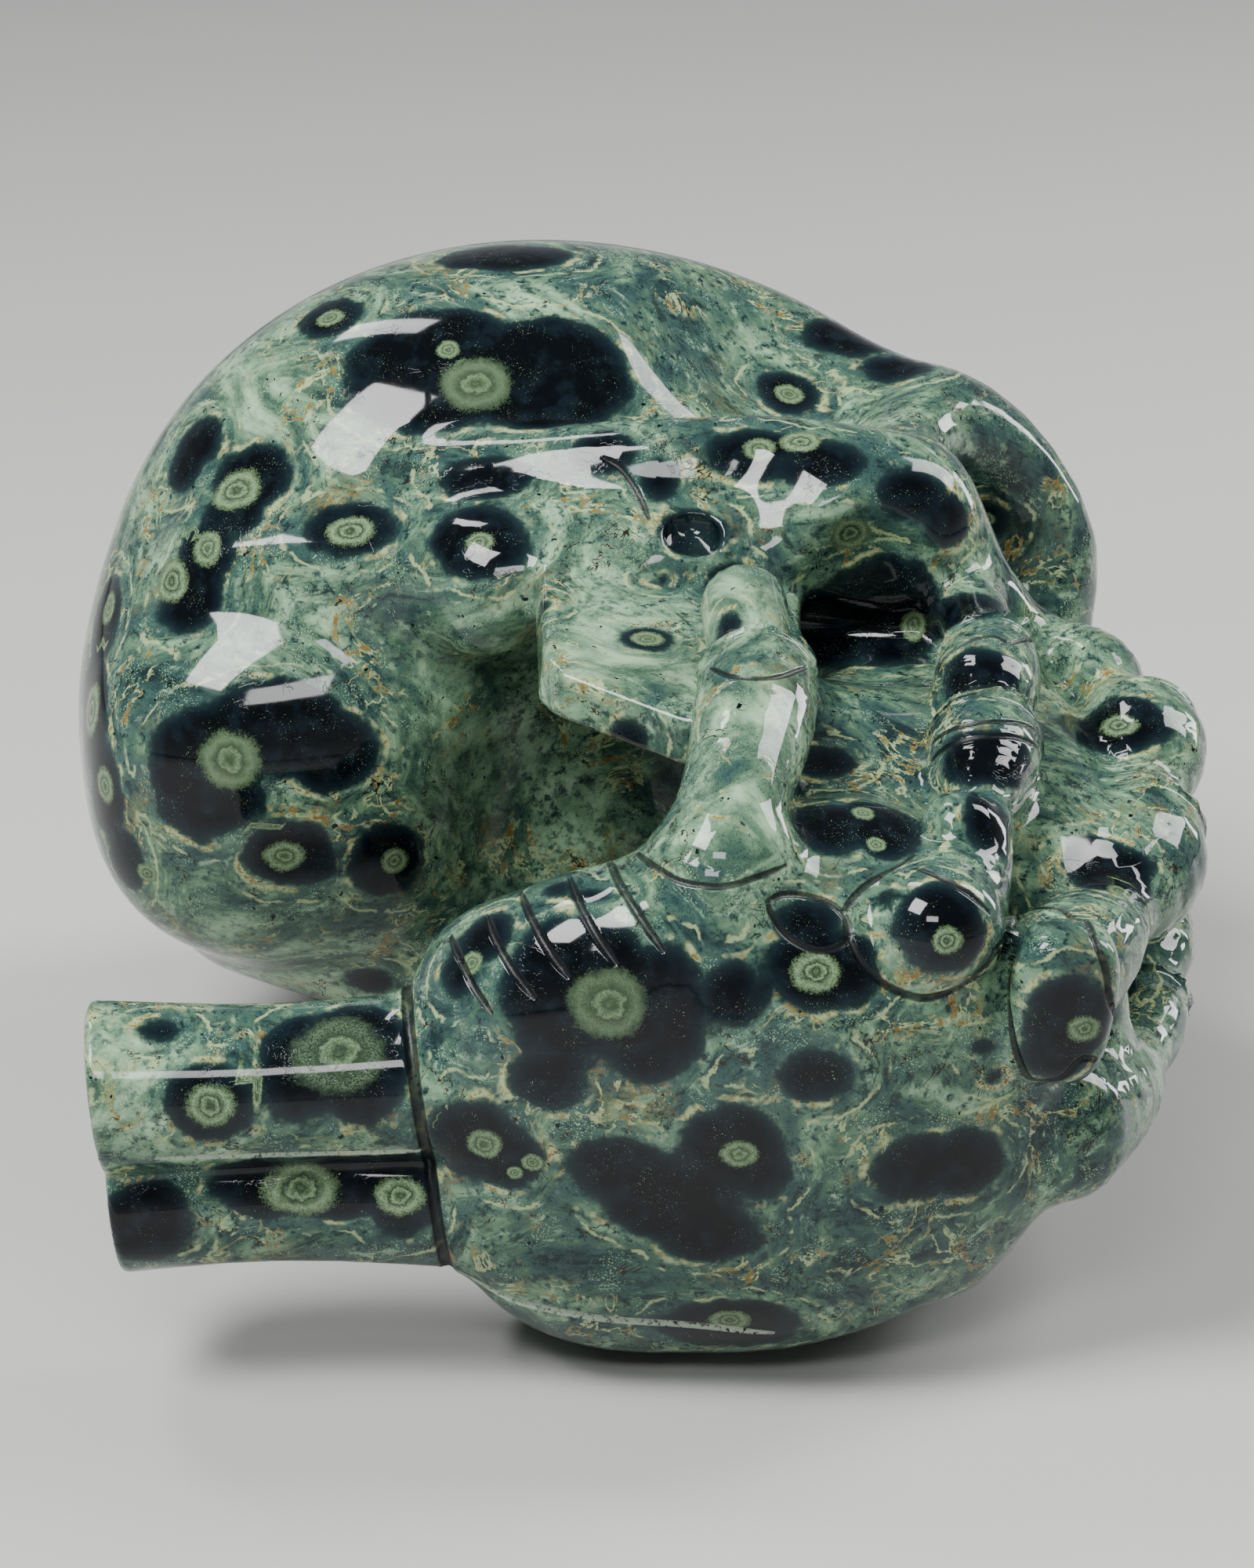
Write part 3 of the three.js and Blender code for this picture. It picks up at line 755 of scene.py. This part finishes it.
# Random orbs go on the sides that the photograph doesn't show, so the points in its view come first
VIEW_LIFT, SHOWN_STRIDE = 0.6, 5
chance = np.random.default_rng(RANDOM_SEED)
points = points_of(stone.data)
outward = slope_of(finished, points)[1]
to_camera = camera_place - points
to_camera /= np.linalg.norm(to_camera, axis=1)[:, None]
in_view = (to_camera * outward).sum(1) > 0
for i in np.flatnonzero(in_view):
    start = lying(points[i] + outward[i] * VIEW_LIFT)
    in_view[i] = skin.ray_cast(Vector(start), Vector(ROLL @ to_camera[i]))[0] is None
shown = points[in_view][::SHOWN_STRIDE]
to_place = [sizes for count, *sizes in RANDOM_ORBS for _ in range(count)]
for i in chance.choice(np.flatnonzero(~in_view), RANDOM_TRIES, replace=False):
    if not to_place:
        break
    place, size = points[i], chance.uniform(*to_place[0])
    if any(np.linalg.norm(place - middle) < SPACING_SHARE * (size + mean) + SPACING_GAP
           for middle, _, mean in orbs_and_painted_shade):
        continue
    if np.linalg.norm(shown - place, axis=1).min() < size:
        continue
    side = np.cross(outward[i], chance.normal(size=3))
    side /= np.linalg.norm(side)
    turned = np.array([side, np.cross(outward[i], side), outward[i]])
    halves = size * np.array([chance.uniform(*RANDOM_LENGTH), chance.uniform(*RANDOM_BREADTH), 1.0])
    orbs_and_painted_shade.append((place, turned / halves[:, None], size))
    to_place.pop(0)
    if chance.random() < EYE_CHANCE and size > SMALLEST_WITH_EYE:
        share = chance.uniform(*EYE_SHARE)
        eye_place = place + side * chance.uniform(-EYE_OFF_MIDDLE, EYE_OFF_MIDDLE) * size
        eyes.append((eye_place, turned / (halves[:, None] * share), size * share))

# What the material has to know at each point: how far it is from the nearest orb or painted patch of
# shade, less than 0 inside it, that orb's size, the size of the eye that it lies in, and how pale the
# ground is there, with the painted light in the hollow under the skull and painted shade in the socket
EYE_SIZE_REACH = 1.5
dark = np.full(len(points), FAR_AWAY)
orb_size = np.zeros(len(points))
for middle, axes, mean in orbs_and_painted_shade:
    outside = (np.linalg.norm((points - middle) @ axes.T, axis=1) - 1) * mean
    orb_size[outside < dark] = mean
    dark = np.minimum(dark, outside)

eye_size = np.zeros(len(points))
for middle, axes, mean in eyes:
    eye_size[np.linalg.norm((points - middle) @ axes.T, axis=1) < EYE_SIZE_REACH] = mean

tone_with_painted_light = np.zeros(len(points))
for *place_and_size, amount in TONES_WITH_PAINTED_LIGHT:
    found = ball(*place_and_size)
    if found:
        tone_with_painted_light += amount * np.exp(-(((points - found[0]) @ found[1].T) ** 2).sum(1))


EYE_REACH, EYE_MARGIN = 1.7, 2
APART_SHARE, APART_GAP = 1.3, 5


def eye_channels(eyes, channels=3):
    """Each point's place in the eye it lies in, in eye sizes, with neighbouring eyes kept apart."""
    placed = []
    fields = [np.tile([0, 0, FAR_AWAY], (len(points), 1)) for _ in range(channels)]
    for middle, axes, mean in eyes:
        used = {taken for other, size, taken in placed
                if np.linalg.norm(other - middle) < APART_SHARE * (size + mean) + APART_GAP}
        channel = min(set(range(channels)) - used or {0})
        placed.append((middle, mean, channel))
        reach = EYE_REACH * np.abs(1 / np.linalg.norm(axes, axis=1)).max() + EYE_MARGIN
        near = np.linalg.norm(points - middle, axis=1) < reach
        local = (points[near] - middle) @ axes.T
        closer = np.linalg.norm(local, axis=1) < np.linalg.norm(fields[channel][near], axis=1)
        rows = np.flatnonzero(near)[closer]
        fields[channel][rows] = local[closer]
    return fields


def keep(name, kind, key, values):
    """Stores a value for each point of the stone, for the material to read."""
    attribute = stone.data.attributes.new(name, kind, "POINT")
    attribute.data.foreach_set(key, np.ascontiguousarray(values, np.float32).ravel())


keep("dark", "FLOAT", "value", dark)
keep("orb_size", "FLOAT", "value", orb_size)
keep("tone_with_painted_light", "FLOAT", "value", tone_with_painted_light)
keep("eye_size", "FLOAT", "value", eye_size)
for name, field in zip(("eye_a", "eye_b", "eye_c"), eye_channels(eyes)):
    keep(name, "FLOAT_VECTOR", "vector", field)
keep("off_line", "FLOAT", "value", np.minimum(off_lines(points, LINES), off_wrist(points)))
keep("off_dusty_line", "FLOAT", "value", off_lines(points, DUSTY_LINES))


# Kambaba jasper takes a mirror polish. The ground is mottled sage and teal with pale grains and
# ochre veins, the orbs are blue-black with a soft edge, and the eyes are olive with fine rings.
def paint(*screen):
    """A colour as it looks on screen, red, green and blue from 0 to 255, turned into light."""
    light = [((v / 255 + 0.055) / 1.055) ** 2.4 if v > 10 else v / 255 / 12.92 for v in screen]
    return (*light, 1)


PALE_SAGE = paint(140, 170, 138)
SAGE = paint(92, 122, 96)
DARK_SAGE = paint(62, 88, 72)
TEAL = paint(48, 74, 70)
DEEP_TEAL = paint(22, 37, 38)
CREAM = paint(156, 170, 124)
OCHRE = paint(112, 92, 46)
BROWN = paint(40, 30, 20)
INK = paint(5, 8, 11)
BLUE_INK = paint(14, 24, 30)
EYE_GREY = paint(116, 140, 106)
OLIVE = paint(78, 98, 68)
DARK_OLIVE = paint(42, 56, 42)
DUST = paint(170, 182, 164)
POLISH, PATCHES_LESS_POLISHED, CUTS_LESS_POLISHED = 0.05, 0.03, 0.35
STONE_IOR, STONE_SPECULAR = 1.54, 0.25
WAVE_HEIGHT, PIT_DEPTH, RELIEF_STRENGTH = 0.08, 0.02, 0.5

jasper = bpy.data.materials.new("kambaba_jasper")
jasper.use_nodes = True
tree = jasper.node_tree
shader = tree.nodes["Principled BSDF"]


def node(kind, feeds=(), **settings):
    """Adds a node, with its settings by name and its inputs by number or name."""
    made = tree.nodes.new(kind)
    for name, value in settings.items():
        setattr(made, name, value)
    for socket, value in dict(feeds).items():
        if isinstance(value, bpy.types.NodeSocket):
            tree.links.new(value, made.inputs[socket])
        else:
            made.inputs[socket].default_value = value
    return made


def math_of(operation, *values):
    return node("ShaderNodeMath", enumerate(values), operation=operation).outputs[0]


def kept(name, output="Fac"):
    """What was stored under that name for each point of the stone."""
    return node("ShaderNodeAttribute", attribute_name=name).outputs[output]


def scaled(vector, scale):
    return node("ShaderNodeVectorMath", {0: vector, "Scale": scale}, operation="SCALE").outputs[0]


def noise(scale, detail=3.0, rough=0.55, warp=0.0, at=None):
    """A cloudy pattern from 0 to 1, with so many clouds to the millimetre, and finer ones in them."""
    feeds = {
        "Vector": at or millimetres, "Scale": scale, "Detail": detail,
        "Roughness": rough, "Distortion": warp,
    }
    return node("ShaderNodeTexNoise", feeds).outputs["Fac"]


def swung(value, reach):
    """A noise from 0 to 1, made to swing that far to both sides of 0."""
    return math_of("MULTIPLY_ADD", value, 2 * reach, -reach)


def off_middle(value, middle):
    """How far a value is from that middle, on either side."""
    return math_of("ABSOLUTE", math_of("SUBTRACT", value, middle))


def step(value, low, high):
    """0 below low and 1 above high, or the other way round where low is the higher."""
    feeds = {"Value": value, "From Min": low, "From Max": high}
    return node("ShaderNodeMapRange", feeds, interpolation_type="SMOOTHSTEP").outputs["Result"]


def blend(share, under, over):
    """One colour laid over another, with a share from 0 to 1."""
    made = node("ShaderNodeMix", {0: share, 6: under, 7: over}, data_type="RGBA")
    return made.outputs[2]


def overlap(*masks):
    """A mask that shows only where all of these do."""
    whole = masks[0]
    for mask in masks[1:]:
        whole = math_of("MULTIPLY", whole, mask)
    return whole


def fill_ramp(made, stops):
    """Gives a colour ramp its places and colours."""
    while len(made.color_ramp.elements) < len(stops):
        made.color_ramp.elements.new(0.5)
    for element, (at, colour) in zip(made.color_ramp.elements, stops):
        element.position, element.color = at, colour


place = node("ShaderNodeTexCoord").outputs["Object"]
millimetres = scaled(place, 1 / MM)

broad = noise(0.06, 2)
middling = noise(0.35, 3, 0.55)
fine = noise(1.6, 3, 0.6)
grains = noise(5.0, 2, 0.5)

# The edge of the orbs is ragged, less so on the small ones, and gritty on all
orb_edge = kept("dark")
ragged = math_of("ADD", swung(noise(0.16, 2), 1.6), swung(middling, 0.8))
ragged = math_of("MULTIPLY", ragged, step(kept("orb_size"), 0.5, 6))
gritty = math_of("MULTIPLY", swung(fine, 0.5), 0.8)
edge = math_of("ADD", orb_edge, math_of("ADD", ragged, gritty))

# Flow lines run round the orbs, so the streaks are noise that changes fast with the distance to them
flow_x = math_of("MULTIPLY", orb_edge, 0.2)
flow_y = math_of("MULTIPLY", orb_edge, -0.16)
flow_step = node("ShaderNodeCombineXYZ", {0: flow_x, 1: flow_y}).outputs[0]
slow = scaled(millimetres, 0.13)
flowing = node("ShaderNodeVectorMath", {0: slow, 1: flow_step}, operation="ADD").outputs[0]
flow = noise(1.0, 6, 0.62, 0.3, flowing)
thin_flow = noise(2.6, 6, 0.68, 0.3, flowing)

# The ground runs from deep teal to pale sage, by the flow and by how pale that part of the stone is,
# which also holds painted light in the hollow under the skull and painted shade in the eye socket
patches = noise(0.25, 3, 0.6)
tone_with_painted_light = math_of("ADD", kept("tone_with_painted_light"), swung(noise(0.04, 2), 1.5))
blotches = noise(0.75, 5, 0.68, 0.2)
mottle = node("ShaderNodeValToRGB", {"Fac": math_of("MULTIPLY_ADD", tone_with_painted_light, 0.11, flow)})
GROUND_SHADES = [(0.3, DEEP_TEAL), (0.4, TEAL), (0.47, DARK_SAGE), (0.56, SAGE), (0.7, PALE_SAGE)]
fill_ramp(mottle, GROUND_SHADES)
ground = mottle.outputs["Color"]
ground = blend(overlap(step(thin_flow, 0.54, 0.66), step(patches, 0.4, 0.56), 0.75), ground, PALE_SAGE)
ground = blend(overlap(step(blotches, 0.52, 0.4), step(tone_with_painted_light, 1.3, 0.1), 0.8), ground, TEAL)
ground = blend(overlap(step(blotches, 0.43, 0.35), step(tone_with_painted_light, 1.2, -0.2)), ground, DEEP_TEAL)
ground = blend(overlap(step(thin_flow, 0.46, 0.36), step(tone_with_painted_light, 1.4, 0), 0.8), ground, DEEP_TEAL)
ground = blend(overlap(step(edge, 2.4, 0.3), step(patches, 0.4, 0.56), 0.75), ground, TEAL)
# Salt-and-pepper grains, gathered in patches
ground = blend(overlap(step(grains, 0.56, 0.66), step(patches, 0.5, 0.62), 0.8), ground, PALE_SAGE)
dark_grains = overlap(step(grains, 0.44, 0.36), step(patches, 0.56, 0.46), step(flow, 0.56, 0.44), 0.7)
ground = blend(dark_grains, ground, DEEP_TEAL)
# Cream and ochre crusts along the orbs, and veins through the ground
crust_part = step(noise(0.22, 3), 0.52, 0.62)
crust = overlap(step(edge, 0.3, 0.7), step(edge, 1.5, 0.9), crust_part)
ground = blend(overlap(crust, 0.8), ground, CREAM)
ground = blend(overlap(crust, step(fine, 0.5, 0.6)), ground, OCHRE)
halo = overlap(step(off_middle(edge, 2.6), 0.3, 0.08), step(noise(0.3, 2), 0.46, 0.56))
ground = blend(overlap(halo, 0.7), ground, CREAM)
off_vein = off_middle(noise(0.13, 5, 0.62, 0.8), 0.5)
vein_part = step(noise(0.1, 2), 0.5, 0.6)
vein_width = math_of("MULTIPLY_ADD", fine, 0.05, -0.012)
vein = overlap(step(math_of("SUBTRACT", off_vein, vein_width), 0.006, -0.004), vein_part)
ground = blend(overlap(vein, 0.85), ground, CREAM)
ground = blend(overlap(vein, step(noise(0.5, 3, 0.6), 0.46, 0.56)), ground, OCHRE)
# Ochre stains, brown cracks and black seeds
stain = overlap(step(noise(0.09, 3, 0.5), 0.6, 0.74), step(fine, 0.4, 0.6), 0.55)
ground = blend(stain, ground, OCHRE)
off_crack = off_middle(noise(0.17, 4, 0.66, 0.5), 0.5)
crack = overlap(step(off_crack, 0.009, 0.003), step(noise(0.13, 2), 0.53, 0.6))
ground = blend(crack, ground, BROWN)
seed = overlap(step(noise(0.9, 2, 0.5), 0.68, 0.72), step(patches, 0.44, 0.56))
ground = blend(seed, ground, INK)

# The orbs are ink, bluer towards the edge, with a few pale specks
orb_colour = blend(step(middling, 0.45, 0.7), INK, BLUE_INK)
orb_colour = blend(step(edge, -2.2, -0.4), orb_colour, BLUE_INK)
speck = overlap(step(noise(6.5, 1, 0.5), 0.69, 0.75), step(patches, 0.48, 0.6))
orb_colour = blend(speck, orb_colour, EYE_GREY)
rim = blend(step(edge, -0.9, 0.1), orb_colour, DEEP_TEAL)
colour = blend(step(edge, 0.75, -0.15), ground, rim)

# The eyes' rings, from the middle out, are wobbly, and the large eyes are darker and full of specks
EYE_RINGS = [
    (0.0, OLIVE), (0.1, DARK_OLIVE), (0.2, OLIVE), (0.34, EYE_GREY),
    (0.44, DARK_OLIVE), (0.52, OLIVE), (0.72, EYE_GREY), (0.92, OLIVE),
]
large_eye = step(kept("eye_size"), 3.2, 4.6)
for name in ("eye_a", "eye_b", "eye_c"):
    local = kept(name, "Vector")
    out_from_middle = node("ShaderNodeVectorMath", {0: local}, operation="LENGTH").outputs["Value"]
    wobble = math_of("ADD", swung(middling, 0.25), swung(fine, 0.18))
    wobbly_radius = math_of("ADD", out_from_middle, wobble)
    ramp = node("ShaderNodeValToRGB", {"Fac": wobbly_radius})
    fill_ramp(ramp, EYE_RINGS)
    iris = blend(overlap(step(grains, 0.46, 0.6), 0.5), ramp.outputs["Color"], DEEP_TEAL)
    iris = blend(overlap(step(broad, 0.42, 0.58), 0.3), iris, OLIVE)
    specks = overlap(step(grains, 0.58, 0.44), large_eye, step(wobbly_radius, 0.3, 0.6), 0.9)
    iris = blend(specks, iris, BLUE_INK)
    iris = blend(overlap(large_eye, 0.35), iris, DARK_OLIVE)
    ragged_rim = math_of("ADD", wobbly_radius, swung(grains, 0.25))
    colour = blend(step(ragged_rim, 1.12, 0.88), colour, iris)

# The wheel cuts are painted dark, as painted shade in the narrow grooves, and two of them hold pale
# polishing dust
wheel_cut = step(kept("off_line"), 0.22, 0.04)
colour = blend(overlap(wheel_cut, 0.85), colour, INK)
dust = overlap(step(kept("off_dusty_line"), 0.3, 0.05), step(fine, 0.36, 0.5))
colour = blend(overlap(dust, 0.75), colour, DUST)
tree.links.new(colour, shader.inputs["Base Color"])
in_cuts = math_of("MULTIPLY", math_of("MAXIMUM", wheel_cut, dust), CUTS_LESS_POLISHED)
in_patches = math_of("MULTIPLY", step(patches, 0.4, 0.7), PATCHES_LESS_POLISHED)
roughness = math_of("ADD", math_of("ADD", in_cuts, in_patches), POLISH)
tree.links.new(roughness, shader.inputs["Roughness"])
shader.inputs["IOR"].default_value = STONE_IOR
shader.inputs["Specular IOR Level"].default_value = STONE_SPECULAR
wave = math_of("MULTIPLY", noise(0.12, 1), WAVE_HEIGHT)
pits = math_of("MULTIPLY", math_of("MAXIMUM", crack, math_of("MULTIPLY", vein, 0.5)), -PIT_DEPTH)
height = math_of("ADD", wave, pits)
relief = node("ShaderNodeBump", {"Height": height, "Distance": MM, "Strength": RELIEF_STRENGTH})
tree.links.new(relief.outputs["Normal"], shader.inputs["Normal"])
stone.data.materials.clear()
stone.data.materials.append(jasper)

# The studio has a plain pale floor, a large soft box above to the left and a weaker one to the
# right. Three small ones, behind to the left, low to the right and over the camera, give the
# highlights along the forms. The surround is dim.
FLOOR_SIZE = 4
FLOOR_COLOUR, FLOOR_ROUGHNESS = (0.45, 0.445, 0.435, 1), 0.6
LIT_MIDDLE = (0, -0.04, 0.05)

bpy.ops.mesh.primitive_plane_add(size=FLOOR_SIZE)
floor = bpy.context.object
floor.name = "floor"
pale = bpy.data.materials.new("pale_floor")
pale.use_nodes = True
pale_shader = pale.node_tree.nodes["Principled BSDF"]
pale_shader.inputs["Base Color"].default_value = FLOOR_COLOUR
pale_shader.inputs["Roughness"].default_value = FLOOR_ROUGHNESS
floor.data.materials.append(pale)


def soft_box(name, place, size, power):
    """A lamp of that width and height in metres and power in watts, turned to the carving."""
    bpy.ops.object.light_add(type="AREA", location=place)
    lamp = bpy.context.object
    lamp.name = name
    lamp.data.shape = "RECTANGLE"
    lamp.data.size, lamp.data.size_y = size
    lamp.data.energy = power
    lamp.rotation_euler = (Vector(LIT_MIDDLE) - Vector(place)).to_track_quat("-Z", "Y").to_euler()


soft_box("overhead_box", place=(-0.46, -0.42, 0.85), size=(0.4, 0.4), power=18)
soft_box("side_box", place=(0.72, 0.2, 0.7), size=(0.3, 0.6), power=10)
soft_box("back_box", place=(-0.36, 0.34, 0.95), size=(0.12, 0.36), power=3)
soft_box("rim_box", place=(0.85, 0.5, 0.28), size=(0.15, 0.35), power=2.5)
soft_box("camera_box", place=(-0.15, -0.95, 0.75), size=(0.35, 0.18), power=4)

# The surround is about as bright as the floor at the horizon, so that the polish mirrors no seam
SURROUND = [
    (0.0, (0.6, 0.61, 0.62, 1)),
    (0.14, (0.34, 0.35, 0.36, 1)),
    (0.45, (0.12, 0.13, 0.14, 1)),
]
world = bpy.data.worlds.new("studio")
world.use_nodes = True
sky = world.node_tree
direction = sky.nodes.new("ShaderNodeSeparateXYZ")
sky.links.new(sky.nodes.new("ShaderNodeTexCoord").outputs["Generated"], direction.inputs[0])
fade = sky.nodes.new("ShaderNodeValToRGB")
fill_ramp(fade, SURROUND)
sky.links.new(direction.outputs["Z"], fade.inputs["Fac"])
sky.links.new(fade.outputs["Color"], sky.nodes["Background"].inputs["Color"])
sky.nodes["Background"].inputs["Strength"].default_value = 1.0
bpy.context.scene.world = world
